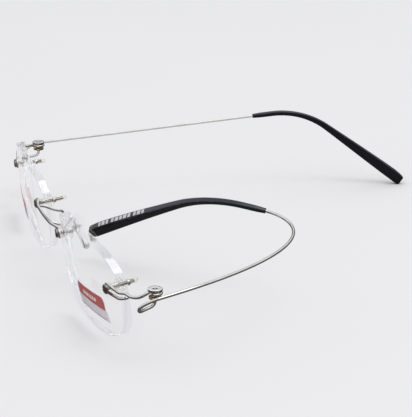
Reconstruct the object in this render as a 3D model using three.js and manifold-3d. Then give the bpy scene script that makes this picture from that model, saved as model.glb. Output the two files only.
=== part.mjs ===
// Rimless eyeglasses: two drilled lenses held by bent wire, with a bridge, nose pads, spool hinges and
// springy wire temples with black plastic tips. Lengths are millimetres and +Z is up.
// The lenses face -Y, the temples run back along +Y, and +X is the wearer's left.
// The wearer's left temple is flexed right round, so that its tip lies between the nose pads.
import * as THREE from "three";
import { mergeVertices } from "three/addons/utils/BufferGeometryUtils.js";
import Module from "manifold-3d";

const wasm = await Module();
wasm.setup();

// Driving dimensions -------------------------------------------------------------------------------
const LENS_WIDTH = 52;
const BRIDGE_WIDTH = 18;
const LENS_HEIGHT = 25.4;
const LENS_SQUARENESS = 2.9; // exponent of the superellipse: 2 is an ellipse, more is squarer
const LENS_THICKNESS = 2.3;
const LENS_RADIUS = 105; // curvature of the front surface
const WRAP = THREE.MathUtils.degToRad(3.5); // each lens turns back at its outer side
const TILT = THREE.MathUtils.degToRad(6.9); // the lower rim lies nearer the cheek
const TEMPORAL_HOLE = { u: 21.1, v: 3.4 }; // u runs outward from the lens centre, v runs up
const NASAL_HOLE = { u: -21.4, v: 4.3 };
const HOLE_RADIUS = 1.05;

const WIRE = 0.42; // radius of every bent wire
const LOOP_RADIUS = 1.18; // centre line of a wire's eye round a screw
const LOOP_DEPTH = -0.5; // an eye lies just in front of the lens

const HINGE = { x: 67.1, y: 11.5, top: 19.5 };
const SPOOL = { capRadius: 1.85, cap: 0.65, waist: 1.0, flangeRadius: 1.6, flange: 0.55, height: 2.6 };
const BORE_RADIUS = 0.58;

const TEMPLE_ROOT = { x: 70.6, y: 11.2, z: 18.0 }; // where the hook becomes the straight wire
const OPEN_ANGLE = THREE.MathUtils.degToRad(8.7); // temples lean in towards the ears
const RISE_ANGLE = THREE.MathUtils.degToRad(5.0);
const WIRE_LENGTH = 71.0;
const TIP_LENGTH = 57.0;
const EAR_BEND = THREE.MathUtils.degToRad(41.3);
const EAR_BEND_START = 6.5; // along the tip
const EAR_BEND_LENGTH = 19.2;
const TIP_CURL = 0.0027; // radians of inward curve for each millimetre of tip
const TIP = { // half sizes of the tip's section, and where its end is rounded, as shares of its length
  startHigh: 0.78,
  endHigh: 1.81,
  startThick: 0.82,
  endThick: 1.22,
  swellStart: 0.22,
  upperStart: 0.91,
  upperDrop: 0.35,
  lowerStart: 0.985,
  lowerDrop: 0.25,
};

// The flex of the left temple: curvature is base + peak * (s / length) ** power, about an axis that
// leans from the wire's upward side towards its lateral side, while the wire twists a little.
const FLEX = {
  openAngle: THREE.MathUtils.degToRad(6.2),
  riseAngle: THREE.MathUtils.degToRad(7.9),
  base: 0.0152,
  peak: 0.153,
  power: 6.2,
  lean: THREE.MathUtils.degToRad(10.4),
  leanChange: THREE.MathUtils.degToRad(60.8),
  twist: -0.0058,
};
const FLEX_STATIONS = [14.2, 40.7, 55.1, 62.0, 66.4, 69.6]; // flexure points, measured along the wire
const FLEX_GAP = 0.22; // each wire length stops this far short of a flexure point

const BASE_SHIFT = new THREE.Vector3(0, -63.97, -0.09); // puts the origin under the middle of the object

// Materials ----------------------------------------------------------------------------------------
const COLOURS = {
  lens: { color: 0xe9eef2, roughness: 0.05, metalness: 0 },
  labelRed: { color: 0xb24a4c, roughness: 0.5, metalness: 0 },
  labelGrey: { color: 0x8f8d92, roughness: 0.5, metalness: 0 },
  steel: { color: 0xbfc1c4, roughness: 0.22, metalness: 1 },
  darkSteel: { color: 0x3a3836, roughness: 0.3, metalness: 1 },
  sleeve: { color: 0xdcdccf, roughness: 0.25, metalness: 0 },
  brass: { color: 0xb08d5a, roughness: 0.35, metalness: 1 },
  pad: { color: 0xe6e8e4, roughness: 0.2, metalness: 0 },
  tip: { color: 0x08080a, roughness: 0.25, metalness: 0 },
};

const glasses = new THREE.Group();
const frame = new THREE.Group();
frame.position.copy(BASE_SHIFT);
glasses.add(frame);

function addMesh(name, geometry, colour, parent = frame) {
  const mesh = new THREE.Mesh(geometry, new THREE.MeshStandardMaterial(COLOURS[colour]));
  mesh.name = name;
  parent.add(mesh);
  return mesh;
}

// Geometry helpers ---------------------------------------------------------------------------------
function toSolid(geometry) {
  const bare = geometry.clone();
  bare.deleteAttribute("normal");
  bare.deleteAttribute("uv");
  const merged = mergeVertices(bare, 1e-4);
  return new wasm.Manifold(
    new wasm.Mesh({
      numProp: 3,
      vertProperties: merged.attributes.position.array,
      triVerts: new Uint32Array(merged.index.array),
    }),
  );
}

function toGeometry(solid) {
  const mesh = solid.getMesh();
  const geometry = new THREE.BufferGeometry();
  geometry.setAttribute("position", new THREE.BufferAttribute(mesh.vertProperties, 3));
  geometry.setIndex(new THREE.BufferAttribute(mesh.triVerts, 1));
  geometry.computeVertexNormals();
  return geometry;
}

// A body of revolution about Y from [radius, height] corners.
function turned(corners, segments = 16) {
  return new THREE.LatheGeometry(
    corners.map(([r, y]) => new THREE.Vector2(r, y)),
    segments,
  );
}

function ring(inner, outer, low, high, segments = 16) {
  return turned([[inner, low], [outer, low], [outer, high], [inner, high], [inner, low]], segments);
}

function circleShape(radius, sides) {
  const corners = [];
  for (let i = 0; i < sides; i += 1) {
    const angle = (2 * Math.PI * i) / sides;
    corners.push(new THREE.Vector2(radius * Math.cos(angle), radius * Math.sin(angle)));
  }
  return new THREE.Shape(corners);
}

function wireAlong(points, steps, radius = WIRE, sides = 8) {
  const curve = new THREE.CatmullRomCurve3(points, false, "centripetal");
  return new THREE.ExtrudeGeometry(circleShape(radius, sides), { steps, extrudePath: curve });
}

function straightWire(from, to, radius = WIRE, sides = 8) {
  const path = new THREE.LineCurve3(from, to);
  return new THREE.ExtrudeGeometry(circleShape(radius, sides), { steps: 1, extrudePath: path });
}

// Joins a row of cross-sections, each a closed ring of as many points, and caps both ends.
function loft(sections) {
  const sides = sections[0].length;
  const last = (sections.length - 1) * sides;
  const corners = sections.flat().flatMap((p) => [p.x, p.y, p.z]);
  const faces = [];
  for (let i = 0; i < last; i += 1) {
    const next = i % sides === sides - 1 ? i + 1 - sides : i + 1;
    faces.push(i, next, next + sides, i, next + sides, i + sides);
  }
  for (let j = 1; j < sides - 1; j += 1) {
    faces.push(0, j + 1, j);
    faces.push(last, last + j, last + j + 1);
  }
  const geometry = new THREE.BufferGeometry();
  geometry.setAttribute("position", new THREE.Float32BufferAttribute(corners, 3));
  geometry.setIndex(faces);
  geometry.computeVertexNormals();
  return geometry;
}

const mirrored = (point, side) => new THREE.Vector3(side * point.x, point.y, point.z);

// Lenses -------------------------------------------------------------------------------------------
function lensOutline(segments) {
  const corners = [];
  for (let i = 0; i < segments; i += 1) {
    const angle = (2 * Math.PI * (i + 0.5)) / segments;
    const power = 2 / LENS_SQUARENESS;
    const c = Math.cos(angle);
    const s = Math.sin(angle);
    const u = (LENS_WIDTH / 2) * Math.sign(c) * Math.abs(c) ** power;
    const v = (LENS_HEIGHT / 2) * Math.sign(s) * Math.abs(s) ** power;
    corners.push(new THREE.Vector2(u, v));
  }
  return corners;
}

// A round curved blank whose front surface touches the origin, curving away along +Y.
function blank(frontOffset, thickness, radius = 29, rings = 5) {
  const front = [];
  const back = [];
  for (let i = 0; i <= rings; i += 1) {
    const angle = (Math.asin(radius / LENS_RADIUS) * i) / rings;
    const outer = LENS_RADIUS + frontOffset;
    const inner = outer - thickness;
    front.push([outer * Math.sin(angle), LENS_RADIUS - outer * Math.cos(angle)]);
    back.unshift([inner * Math.sin(angle), LENS_RADIUS - inner * Math.cos(angle)]);
  }
  front[0][0] = 0;
  back[rings][0] = 0;
  return turned([...front, ...back], 40);
}

function upright(shapeCorners, depth, start) {
  const shape = new THREE.Shape(shapeCorners);
  const body = new THREE.ExtrudeGeometry(shape, { depth, bevelEnabled: false });
  return body.rotateX(Math.PI / 2).translate(0, start + depth, 0);
}

// The lens-local point at (u, v) on the front surface, and the direction that goes back through the lens.
function surfacePoint({ u, v }, side, depth = 0) {
  const toCentre = Math.sqrt(LENS_RADIUS ** 2 - u ** 2 - v ** 2);
  const normal = new THREE.Vector3(-side * u, toCentre, -v).divideScalar(LENS_RADIUS);
  const point = new THREE.Vector3(side * u, LENS_RADIUS - toCentre, v).addScaledVector(normal, depth);
  return { point, normal };
}

function drillAt(hole, side) {
  const { point, normal } = surfacePoint(hole, side);
  const bit = new THREE.CylinderGeometry(HOLE_RADIUS, HOLE_RADIUS, 12, 16);
  const turn = new THREE.Quaternion().setFromUnitVectors(new THREE.Vector3(0, 1, 0), normal);
  return toSolid(bit.applyQuaternion(turn).translate(point.x, point.y, point.z));
}

function lensBody(side) {
  const edged = toSolid(blank(0, LENS_THICKNESS)).intersect(toSolid(upright(lensOutline(56), 20, -6)));
  return toGeometry(edged.subtract(drillAt(TEMPORAL_HOLE, side)).subtract(drillAt(NASAL_HOLE, side)));
}

// Corners of the two printed films as [u, v], from the lower inner one round.
const LABEL_UPPER = [[-1.2, -5.0], [16.9, -4.3], [16.5, -2.1], [15.2, -1.05], [-1.5, -2.05]];
const LABEL_LOWER = [[-0.7, -7.6], [18.6, -7.2], [17.6, -4.4], [-1.2, -5.12]];

function labelBody(side, places) {
  const corners = places.map(([u, v]) => new THREE.Vector2(side * u, v));
  const skin = toSolid(blank(0.16, 0.12));
  return toGeometry(skin.intersect(toSolid(upright(corners, 20, -6))));
}

function lensGroup(side) {
  const group = new THREE.Group();
  group.position.set(
    side * (BRIDGE_WIDTH / 2 + (LENS_WIDTH / 2) * Math.cos(WRAP)),
    0,
    (LENS_HEIGHT / 2) * Math.cos(TILT),
  );
  group.rotation.set(TILT, 0, side * WRAP, "XYZ");
  group.updateMatrix();
  frame.add(group);
  return group;
}

// Screws through the lenses, with what each carries ------------------------------------------------
// Heights are depths behind the front surface of the lens.
const SCREW = { radius: 0.45, headRadius: 1.3, headFront: -1.65, headBack: -0.97 };
const END_DEPTH = 6.9;
const TRIMMED_DEPTH = 3.35;

function screwBody(end) {
  const dome = SCREW.headFront + 0.25;
  return turned([
    [0, SCREW.headFront],
    [SCREW.headRadius - 0.35, SCREW.headFront],
    [SCREW.headRadius, dome],
    [SCREW.headRadius, SCREW.headBack],
    [SCREW.radius, SCREW.headBack],
    [SCREW.radius, end - 0.15],
    [SCREW.radius - 0.15, end],
    [0, end],
  ]);
}

function nutBody(middle) {
  const half = 0.45;
  const bore = SCREW.radius + 0.08;
  return turned([
    [bore, middle - half],
    [0.72, middle - half],
    [0.85, middle],
    [0.72, middle + half],
    [bore, middle + half],
    [bore, middle - half],
  ]);
}

function capBody(start) {
  const bore = SCREW.radius + 0.08;
  const tip = END_DEPTH + 1.0;
  return turned([
    [bore, start],
    [0.62, start],
    [0.62, tip - 0.25],
    [0.4, tip],
    [0, tip],
    [0, END_DEPTH + 0.1],
    [bore, END_DEPTH + 0.1],
    [bore, start],
  ]);
}

function screwSet(side, place, hole, parent, nutDepth) {
  const prefix = `${side > 0 ? "left" : "right"}_${place}`;
  const { point, normal } = surfacePoint(hole, side);
  const set = new THREE.Group();
  set.position.copy(point);
  set.quaternion.setFromUnitVectors(new THREE.Vector3(0, 1, 0), normal);
  parent.add(set);
  const back = LENS_THICKNESS;
  addMesh(`${prefix}_screw`, screwBody(nutDepth ? END_DEPTH : TRIMMED_DEPTH), "darkSteel", set);
  addMesh(`${prefix}_sleeve`, ring(0.55, 0.93, 0.05, back + 0.1), "sleeve", set);
  addMesh(`${prefix}_washer`, ring(0.55, 1.8, back + 0.17, back + 0.87), "sleeve", set);
  if (nutDepth) {
    addMesh(`${prefix}_nut`, nutBody(nutDepth), "darkSteel", set);
    addMesh(`${prefix}_end_cap`, capBody(nutDepth + 0.55), "sleeve", set);
  }
}

// Bent wire round a screw: the centre line of an eye in the lens's front plane.
// Angles run from the outward direction through up; the eye starts and ends at the given angles.
function eyeRoundScrew(hole, side, startAngle, endAngle, count) {
  const points = [];
  for (let i = 0; i <= count; i += 1) {
    const angle = startAngle + ((endAngle - startAngle) * i) / count;
    const place = { u: hole.u + LOOP_RADIUS * Math.cos(angle), v: hole.v + LOOP_RADIUS * Math.sin(angle) };
    points.push(surfacePoint(place, side, LOOP_DEPTH).point);
  }
  return points;
}

// End pieces: claw over the lens edge, eye round the temporal screw, shoulder, eye round the hinge spool.
// Edge places are [u, v, depth] on the lens; shoulder places are [x, y, z] in the frame.
const CLAW = [[27.1, 2.1, 1.5], [26.9, 2.15, 0.4], [26.2, 2.2, -0.48], [24.8, 2.2, -0.52]];
const SHOULDERS = {
  left: {
    edge: [[24.4, 4.0, LOOP_DEPTH], [26.3, 3.75, -0.45], [27.2, 3.55, 0.5]],
    shoulder: [[63.6, 6.3, 16.5], [65.3, 8.0, 16.85]],
  },
  right: {
    edge: [[23.4, 5.3, LOOP_DEPTH], [25.2, 6.0, -0.5], [26.6, 6.4, 0.3]],
    shoulder: [[63.2, 6.3, 19.3], [65.1, 8.6, 19.0]],
  },
};

function hingeEye(side) {
  const level = HINGE.top - SPOOL.cap - WIRE - 0.12;
  const radius = SPOOL.waist + WIRE + 0.08;
  const points = [];
  for (let i = 0; i <= 10; i += 1) {
    const angle = Math.PI * (1.35 - (1.55 * i) / 10);
    const x = side * (HINGE.x + radius * Math.cos(angle));
    points.push(new THREE.Vector3(x, HINGE.y + radius * Math.sin(angle), level));
  }
  return points;
}

function endPieceRoute(side, lens) {
  const onLens = (places) => places.map(([u, v, depth]) => surfacePoint({ u, v }, side, depth).point);
  const { edge, shoulder } = SHOULDERS[side > 0 ? "left" : "right"];
  const eye = eyeRoundScrew(TEMPORAL_HOLE, side, -0.42 * Math.PI, -1.6 * Math.PI, 9);
  const lensPart = [...onLens(CLAW), ...eye, ...onLens(edge)].map((p) => p.applyMatrix4(lens.matrix));
  const bend = shoulder.map(([x, y, z]) => new THREE.Vector3(side * x, y, z));
  return [...lensPart, ...bend, ...hingeEye(side)];
}

function hingeSpool(side) {
  const prefix = side > 0 ? "left" : "right";
  const spool = new THREE.Group();
  spool.position.set(side * HINGE.x, HINGE.y, HINGE.top);
  spool.rotation.x = Math.PI / 2;
  frame.add(spool);
  const capLow = -SPOOL.cap;
  const barrelTop = capLow - 0.06;
  const low = -SPOOL.height;
  const barrel = turned([
    [BORE_RADIUS, low],
    [SPOOL.flangeRadius - 0.15, low],
    [SPOOL.flangeRadius, low + 0.15],
    [SPOOL.flangeRadius, low + SPOOL.flange],
    [SPOOL.waist, low + SPOOL.flange + 0.2],
    [SPOOL.waist, barrelTop],
    [BORE_RADIUS, barrelTop],
    [BORE_RADIUS, low],
  ], 20);
  const cap = turned([
    [BORE_RADIUS, capLow],
    [SPOOL.capRadius, capLow],
    [SPOOL.capRadius, -0.15],
    [SPOOL.capRadius - 0.15, 0],
    [BORE_RADIUS, 0],
    [BORE_RADIUS, capLow],
  ], 24);
  addMesh(`${prefix}_hinge_barrel`, barrel, "brass", spool);
  addMesh(`${prefix}_hinge_cap`, cap, "steel", spool);
}

// Temples ------------------------------------------------------------------------------------------
// The hook starts as the upright pin in the spool, runs forward below it, and turns back outside it.
function hookRoute(side, direction) {
  const root = new THREE.Vector3(TEMPLE_ROOT.x, TEMPLE_ROOT.y, TEMPLE_ROOT.z);
  const along = (distance) => root.clone().addScaledVector(direction, distance);
  const points = [
    new THREE.Vector3(HINGE.x, HINGE.y, HINGE.top - 0.1),
    new THREE.Vector3(HINGE.x, HINGE.y, HINGE.top - SPOOL.height - 0.5),
    new THREE.Vector3(HINGE.x + 0.1, HINGE.y - 0.5, 15.2),
    new THREE.Vector3(HINGE.x + 0.8, HINGE.y - 2.9, 14.5),
    new THREE.Vector3(HINGE.x + 1.6, HINGE.y - 4.3, 14.5),
    new THREE.Vector3(HINGE.x + 2.2, HINGE.y - 4.7, 15.2),
    new THREE.Vector3(HINGE.x + 2.5, HINGE.y - 4.1, 16.1),
    new THREE.Vector3(HINGE.x + 3.1, HINGE.y - 2.1, 17.3),
    along(0),
    along(1.2),
  ];
  return points.map((p) => mirrored(p, side));
}

function startDirection(openAngle, riseAngle) {
  return new THREE.Vector3(
    -Math.sin(openAngle) * Math.cos(riseAngle),
    Math.cos(openAngle) * Math.cos(riseAngle),
    Math.sin(riseAngle),
  );
}

// A place on the temple's line: point, tangent and the direction that is upward when the wire is straight.
function startOfWire(openAngle, riseAngle) {
  const tangent = startDirection(openAngle, riseAngle);
  const up = new THREE.Vector3(0, 0, 1).addScaledVector(tangent, -tangent.z).normalize();
  return { point: new THREE.Vector3(TEMPLE_ROOT.x, TEMPLE_ROOT.y, TEMPLE_ROOT.z), tangent, up };
}

function advance(place, length, turns) {
  const half = place.tangent.clone();
  const tangent = place.tangent.clone();
  const up = place.up.clone();
  for (const [axis, angle] of turns) {
    half.applyAxisAngle(axis, angle / 2);
    tangent.applyAxisAngle(axis, angle);
    up.applyAxisAngle(axis, angle);
  }
  return { point: place.point.clone().addScaledVector(half, length), tangent, up };
}

// The flexed wire's line, from its root to the tip, as places a fixed step apart.
function flexedWire(steps) {
  const places = [startOfWire(FLEX.openAngle, FLEX.riseAngle)];
  const length = WIRE_LENGTH / steps;
  for (let i = 0; i < steps; i += 1) {
    const place = places[i];
    const share = (i + 0.5) / steps;
    const lean = FLEX.lean + FLEX.leanChange * (share - 0.5);
    const lateral = place.tangent.clone().cross(place.up);
    const axis = place.up.clone().multiplyScalar(Math.cos(lean)).addScaledVector(lateral, Math.sin(lean));
    const bend = (FLEX.base + FLEX.peak * share ** FLEX.power) * length;
    places.push(advance(place, length, [[axis, bend], [place.tangent, FLEX.twist * length]]));
  }
  return places;
}

// The tip's centre line from where the wire enters it: an ear bend, a straight run and a slight inward curl.
function tipLine(start, steps) {
  const places = [start];
  const length = TIP_LENGTH / steps;
  for (let i = 0; i < steps; i += 1) {
    const place = places[i];
    const lateral = place.tangent.clone().cross(place.up);
    const bendStart = Math.max(i * length, EAR_BEND_START);
    const bendEnd = Math.min((i + 1) * length, EAR_BEND_START + EAR_BEND_LENGTH);
    const drop = (-EAR_BEND * Math.max(0, bendEnd - bendStart)) / EAR_BEND_LENGTH;
    places.push(advance(place, length, [[lateral, drop], [place.up, TIP_CURL * length]]));
  }
  return places;
}

// How far a rounded end has drawn in, from 0 where the rounding starts to 1 at the end.
function drawnIn(share, start) {
  const along = THREE.MathUtils.clamp((share - start) / (1 - start), 0, 1);
  return 1 - Math.sqrt(1 - along ** 2);
}

// The tip's reach above and below its centre line and its half-thickness, at a share of its length.
// It swells towards its end, where the upper edge is rounded off and the lower corner stays.
function tipSection(share) {
  const swell = THREE.MathUtils.smoothstep(share, TIP.swellStart, 1);
  const nose = 0.8 + 0.2 * THREE.MathUtils.smoothstep(share, -0.02, 0.06);
  const high = TIP.startHigh + (TIP.endHigh - TIP.startHigh) * swell;
  const thick = TIP.startThick + (TIP.endThick - TIP.startThick) * swell;
  return {
    above: high * nose * (1 - TIP.upperDrop * drawnIn(share, TIP.upperStart)),
    below: high * nose * (1 - TIP.lowerDrop * drawnIn(share, TIP.lowerStart)),
    thick: thick * nose * (1 - TIP.lowerDrop * drawnIn(share, TIP.lowerStart)),
  };
}

function tipBody(start, side) {
  const steps = 30;
  const sides = 12;
  const sections = tipLine(start, steps).map((place, i) => {
    const { above, below, thick } = tipSection(i / steps);
    const lateral = place.tangent.clone().cross(place.up);
    const corners = [];
    for (let j = 0; j < sides; j += 1) {
      const angle = (-side * 2 * Math.PI * (j + 0.5)) / sides;
      const across = thick * Math.sign(Math.cos(angle)) * Math.abs(Math.cos(angle)) ** 0.6;
      const reach = Math.sin(angle) > 0 ? above : -below;
      const upward = reach * Math.abs(Math.sin(angle)) ** 0.7;
      const corner = place.point.clone().addScaledVector(lateral, across).addScaledVector(place.up, upward);
      corners.push(mirrored(corner, side));
    }
    return corners;
  });
  return loft(sections);
}

function rootWire(side, direction, length) {
  const hook = toSolid(wireAlong(hookRoute(side, direction), 44));
  const root = new THREE.Vector3(TEMPLE_ROOT.x, TEMPLE_ROOT.y, TEMPLE_ROOT.z);
  const from = mirrored(root.clone().addScaledVector(direction, 0.6), side);
  const to = mirrored(root.clone().addScaledVector(direction, length), side);
  return toGeometry(hook.add(toSolid(straightWire(from, to))));
}

function straightTemple() {
  const side = -1;
  const start = startOfWire(OPEN_ANGLE, RISE_ANGLE);
  addMesh("right_temple_wire", rootWire(side, start.tangent, WIRE_LENGTH - 0.3), "steel");
  const tipStart = { ...start, point: start.point.clone().addScaledVector(start.tangent, WIRE_LENGTH) };
  addMesh("right_temple_tip", tipBody(tipStart, side), "tip");
}

// The flexed wire is built as short rigid lengths between flexure points, so that it can straighten.
function flexedTemple() {
  const steps = 379;
  const places = flexedWire(steps);
  const at = (distance) => places[Math.round((distance / WIRE_LENGTH) * steps)];
  const knots = [0, ...FLEX_STATIONS].map((s) => at(s).point);
  for (let i = 0; i + 1 < knots.length; i += 1) {
    const direction = knots[i + 1].clone().sub(knots[i]);
    const length = direction.length();
    direction.normalize();
    const name = `left_temple_wire_${i + 1}`;
    if (i === 0) {
      addMesh(name, rootWire(1, direction, length - FLEX_GAP), "steel");
    } else {
      const from = knots[i].clone().addScaledVector(direction, FLEX_GAP);
      const to = knots[i + 1].clone().addScaledVector(direction, -FLEX_GAP);
      addMesh(name, straightWire(from, to), "steel");
    }
  }
  const last = knots[knots.length - 1].clone();
  const into = places[steps].point.clone().sub(last);
  const from = last.clone().addScaledVector(into.clone().normalize(), FLEX_GAP);
  addMesh("left_temple_wire_7", straightWire(from, last.addScaledVector(into, 0.95)), "steel");
  addMesh("left_temple_tip", tipBody(places[steps], 1), "tip");
}

// Bridge and nose pads -----------------------------------------------------------------------------
function bridgeWire(lenses) {
  const half = (side) =>
    eyeRoundScrew(NASAL_HOLE, side, -0.85 * Math.PI, 0.53 * Math.PI, 10).map((p) =>
      p.applyMatrix4(lenses[side > 0 ? "left" : "right"].matrix),
    );
  const span = [
    new THREE.Vector3(8.6, -1.35, 18.3),
    new THREE.Vector3(4.2, -1.6, 18.2),
    new THREE.Vector3(-4.2, -1.6, 18.2),
    new THREE.Vector3(-8.6, -1.35, 18.3),
  ];
  addMesh("bridge_wire", wireAlong([...half(1), ...span, ...half(-1).reverse()], 66), "steel");
}

const PAD = { x: 7.6, y: 9.0, z: 10.6, wide: 3.5, tall: 4.6, thick: 1.4, splay: 0.5, flare: -0.22 };

function padArm(side) {
  const route = [
    [7.5, -0.92, 18.15],
    [7.65, 0.8, 17.6],
    [7.8, 2.8, 16.6],
    [8.2, 4.6, 15.9],
    [9.2, 5.9, 15.2],
    [10.2, 6.6, 13.6],
    [10.5, 7.2, 12.0],
    [10.1, 7.65, 10.9],
    [8.95, 8.27, 10.6],
  ];
  const points = route.map(([x, y, z]) => new THREE.Vector3(side * x, y, z));
  return wireAlong(points, 30, 0.34, 8);
}

function nosePad(side) {
  const prefix = side > 0 ? "left" : "right";
  addMesh(`${prefix}_pad_arm`, padArm(side), "steel");
  const pad = new THREE.Group();
  pad.position.set(side * PAD.x, PAD.y, PAD.z);
  pad.rotation.set(0, side * PAD.flare, side * (Math.PI / 2 - PAD.splay), "ZYX");
  frame.add(pad);
  const face = turned([
    [0, -0.15],
    [0.55, -0.1],
    [0.95, 0.15],
    [1.0, 0.4],
    [0.9, 0.75],
    [0.5, 0.97],
    [0, 1.05],
  ], 20);
  addMesh(`${prefix}_nose_pad`, face.scale(PAD.wide, PAD.thick, PAD.tall), "pad", pad);
  const mount = turned([[0, -1.35], [0.85, -1.35], [0.85, -0.5], [0, -0.5]], 12);
  addMesh(`${prefix}_pad_mount`, mount, "darkSteel", pad);
}

// Assembly -----------------------------------------------------------------------------------------
const lenses = {};
for (const side of [1, -1]) {
  const prefix = side > 0 ? "left" : "right";
  const lens = lensGroup(side);
  lenses[prefix] = lens;
  addMesh(`${prefix}_lens`, lensBody(side), "lens", lens);
  addMesh(`${prefix}_label_upper`, labelBody(side, LABEL_UPPER), "labelRed", lens);
  addMesh(`${prefix}_label_lower`, labelBody(side, LABEL_LOWER), "labelGrey", lens);
  screwSet(side, "temporal", TEMPORAL_HOLE, lens, 5.2);
  screwSet(side, "nasal", NASAL_HOLE, lens, side > 0 ? 0 : 4.2);
  addMesh(`${prefix}_end_piece`, wireAlong(endPieceRoute(side, lens), 64), "steel");
  hingeSpool(side);
  nosePad(side);
}
bridgeWire(lenses);
straightTemple();
flexedTemple();

export default glasses;
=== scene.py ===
"""Rimless eyeglasses: the looks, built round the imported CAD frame.

Working lengths are millimetres in the same frame as the CAD source, before its base shift.
The lenses face -Y, the temples run back along +Y, and +X is the wearer's left.
"""
import math

import bmesh
import bpy
import numpy as np
from mathutils import Matrix, Vector


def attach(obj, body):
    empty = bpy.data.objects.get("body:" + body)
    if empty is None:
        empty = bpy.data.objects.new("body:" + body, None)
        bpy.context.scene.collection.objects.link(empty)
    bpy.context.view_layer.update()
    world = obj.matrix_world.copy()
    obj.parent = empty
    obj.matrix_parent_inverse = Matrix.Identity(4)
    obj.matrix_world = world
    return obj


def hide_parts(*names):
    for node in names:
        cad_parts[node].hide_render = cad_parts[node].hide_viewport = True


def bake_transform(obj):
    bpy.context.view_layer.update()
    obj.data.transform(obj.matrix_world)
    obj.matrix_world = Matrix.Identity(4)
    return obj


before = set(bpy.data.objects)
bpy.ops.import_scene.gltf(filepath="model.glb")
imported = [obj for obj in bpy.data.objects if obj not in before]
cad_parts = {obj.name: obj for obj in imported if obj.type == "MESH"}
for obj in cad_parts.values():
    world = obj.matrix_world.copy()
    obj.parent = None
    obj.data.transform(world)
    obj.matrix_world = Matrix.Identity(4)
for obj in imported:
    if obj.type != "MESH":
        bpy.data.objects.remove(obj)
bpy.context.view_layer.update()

# ---------------------------------------------------------------- dimensions shared with the CAD
MM = 0.001
BASE_SHIFT = Vector((0, -63.97, -0.09))

LENS_WIDTH = 52
BRIDGE_WIDTH = 18
LENS_HEIGHT = 25.4
LENS_SQUARENESS = 2.9  # exponent of the superellipse: 2 is an ellipse, more is squarer
LENS_THICKNESS = 2.3
LENS_RADIUS = 105  # curvature of the front surface
WRAP = math.radians(3.5)  # each lens turns back at its outer side
TILT = math.radians(6.9)  # the lower rim lies nearer the cheek
TEMPORAL_HOLE = (21.1, 3.4)  # (u, v): u runs outward from the lens centre, v runs up
NASAL_HOLE = (-21.4, 4.3)
HOLE_RADIUS = 1.05

WIRE = 0.42  # radius of every bent wire but the pad arms
LOOP_RADIUS = 1.18  # centre line of a wire's eye round a screw
LOOP_DEPTH = -0.5  # an eye lies just in front of the lens

# Depths along a screw are measured back from the lens's front surface.
SCREW_RADIUS = 0.45
HEAD_RADIUS = 1.3
HEAD_FRONT, HEAD_BACK = -1.65, -0.97
END_DEPTH = 6.9
TRIMMED_DEPTH = 3.35
TEMPORAL_NUT_DEPTH = 5.2
NASAL_NUT_DEPTH = 4.2

HINGE = Vector((67.1, 11.5, 19.5))  # the middle of the cap's top face
CAP_RADIUS, CAP_THICKNESS = 1.85, 0.65
FLANGE_RADIUS, FLANGE_THICKNESS = 1.6, 0.55
WAIST_RADIUS = 1.0
BORE_RADIUS = 0.58
SPOOL_HEIGHT = 2.6

ROOT = Vector((70.6, 11.2, 18.0))  # where the hook becomes the straight wire
OPEN_ANGLE = math.radians(8.7)
RISE_ANGLE = math.radians(5.0)
WIRE_LENGTH = 71.0
TIP_LENGTH = 57.0
EAR_BEND = math.radians(41.3)
EAR_BEND_START = 6.5
EAR_BEND_LENGTH = 19.2
TIP_CURL = 0.0027  # radians of inward curve for each millimetre of tip

# Half sizes of the tip's section at its start and end, and where it changes, as shares of its length.
TIP_HIGH = (0.78, 1.81)
TIP_THICK = (0.82, 1.22)
TIP_SWELL_START = 0.22
TIP_UPPER_START, TIP_UPPER_DROP = 0.91, 0.35
TIP_LOWER_START, TIP_LOWER_DROP = 0.985, 0.25
TIP_COLLAR_SIZE = 0.8
TIP_COLLAR_START, TIP_COLLAR_END = -0.02, 0.06
TIP_ROUND_POWER, TIP_BOXY_POWER = 0.75, 0.35
TIP_BOXY_SHARE = 0.5

# The flexed wire curves by FLEX_BASE + FLEX_PEAK * share ** FLEX_POWER radians for each millimetre.
FLEX_OPEN_ANGLE = math.radians(6.2)
FLEX_RISE_ANGLE = math.radians(7.9)
FLEX_BASE, FLEX_PEAK, FLEX_POWER = 0.0152, 0.153, 6.2
FLEX_LEAN, FLEX_LEAN_CHANGE = math.radians(10.4), math.radians(60.8)
FLEX_TWIST = -0.0058
FLEX_STATIONS = [14.2, 40.7, 55.1, 62.0, 66.4, 69.6]  # flexure points, measured along the wire


def side_name(side):
    return "left" if side > 0 else "right"


def to_world(point):
    """A working point in millimetres as a point of the row frame in metres."""
    return (Vector(point) + BASE_SHIFT) * MM


def mirror(point, side):
    return Vector((side * point.x, point.y, point.z))


def add(piece, body, slot, *nodes):
    """Puts a piece on a body, in place of the CAD nodes named; the slot is not used."""
    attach(piece, body)
    if nodes:
        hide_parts(*nodes)
    return piece


# ---------------------------------------------------------------- mesh makers
def make_object(name, verts, faces, material, sharp=35):
    mesh = bpy.data.meshes.new(name)
    mesh.from_pydata([tuple(v) for v in verts], [], faces)
    mesh.validate()
    mesh.polygons.foreach_set("use_smooth", [True] * len(mesh.polygons))
    if sharp:
        mesh.set_sharp_from_angle(angle=math.radians(sharp))
    mesh.materials.append(material)
    obj = bpy.data.objects.new(name, mesh)
    bpy.context.scene.collection.objects.link(obj)
    return obj


def face_outward(obj):
    bm = bmesh.new()
    bm.from_mesh(obj.data)
    bmesh.ops.recalc_face_normals(bm, faces=bm.faces)
    bm.to_mesh(obj.data)
    bm.free()
    return obj


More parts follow.
